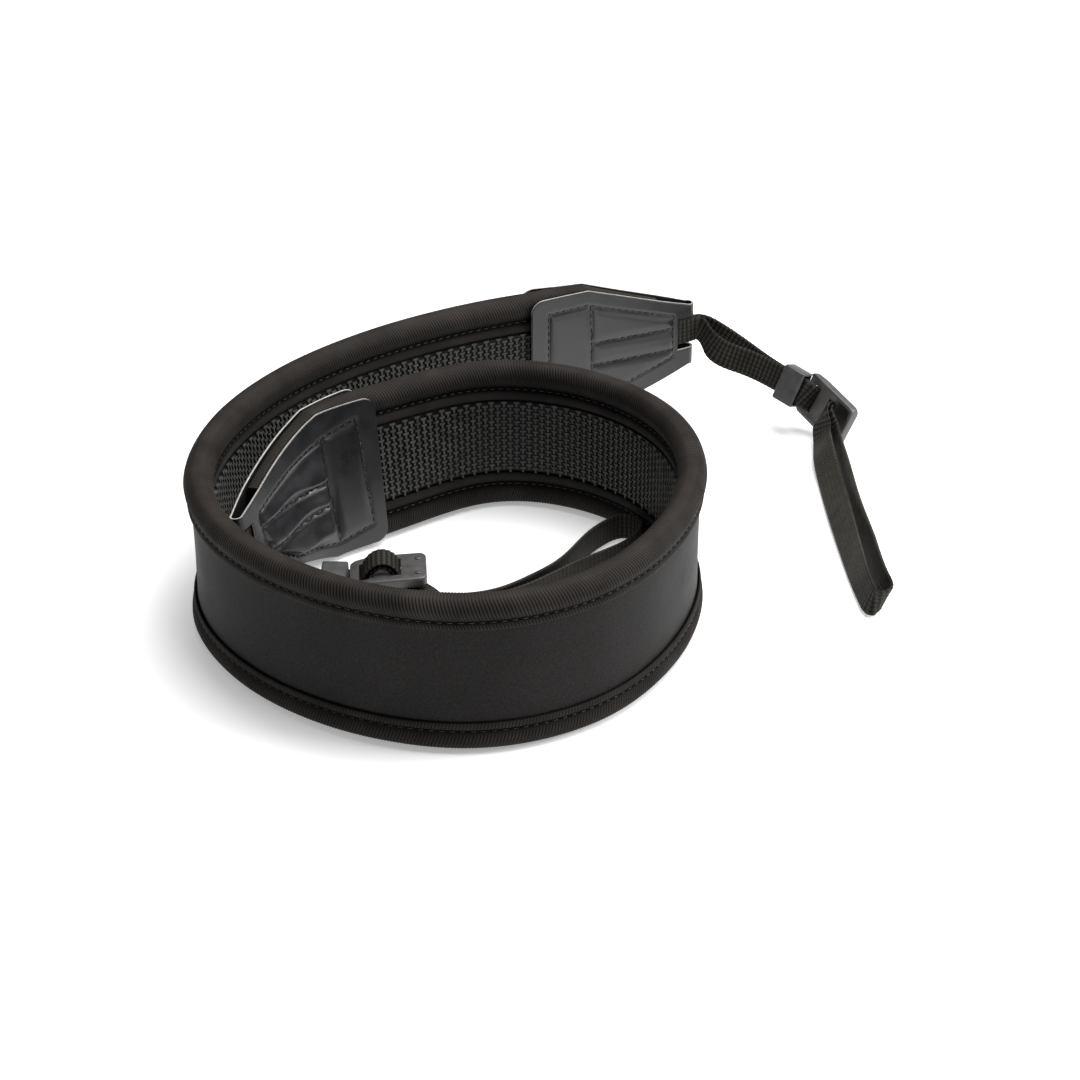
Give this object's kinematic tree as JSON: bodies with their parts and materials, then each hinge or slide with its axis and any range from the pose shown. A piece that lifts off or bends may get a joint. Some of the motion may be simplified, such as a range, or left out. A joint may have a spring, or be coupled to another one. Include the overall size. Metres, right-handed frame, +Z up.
{
  "type": "camera neck strap",
  "caption": "Padded camera neck strap with leather end tabs and thin webbing lug loops, coiled and standing on its long edge.",
  "frame": {"origin": "middle of the strap's outline on the floor, at the height of the edge it stands on", "axes": "+Z up from that edge; +X to the right and +Y away from the viewer, as in the picture"},
  "size_m": [0.2345, 0.2356, 0.055],
  "materials": {
    "neoprene": "matte knitted face on foam",
    "grip_sheet": "anti-slip sheet moulded with a small basket pattern",
    "binding_tape": "ribbed grosgrain tape",
    "tab_leather": "coated leather, semi-gloss, stitched into three puffed panels",
    "webbing": "coarse woven tape with crosswise ribs",
    "keeper_plastic": "matte moulded plastic",
    "slider_plastic": "semi-gloss moulded plastic"
  },
  "bodies": {
    "root": {"pad_core": "neoprene", "grip_liner": "grip_sheet", "binding_top": "binding_tape", "binding_bottom": "binding_tape", "tab_outer": "tab_leather", "tab_inner": "tab_leather", "webbing_outer": "webbing", "webbing_inner": "webbing", "keeper_outer": "keeper_plastic", "keeper_inner": "keeper_plastic", "slider_outer": "slider_plastic", "slider_inner": "slider_plastic"}
  },
  "joints": []
}
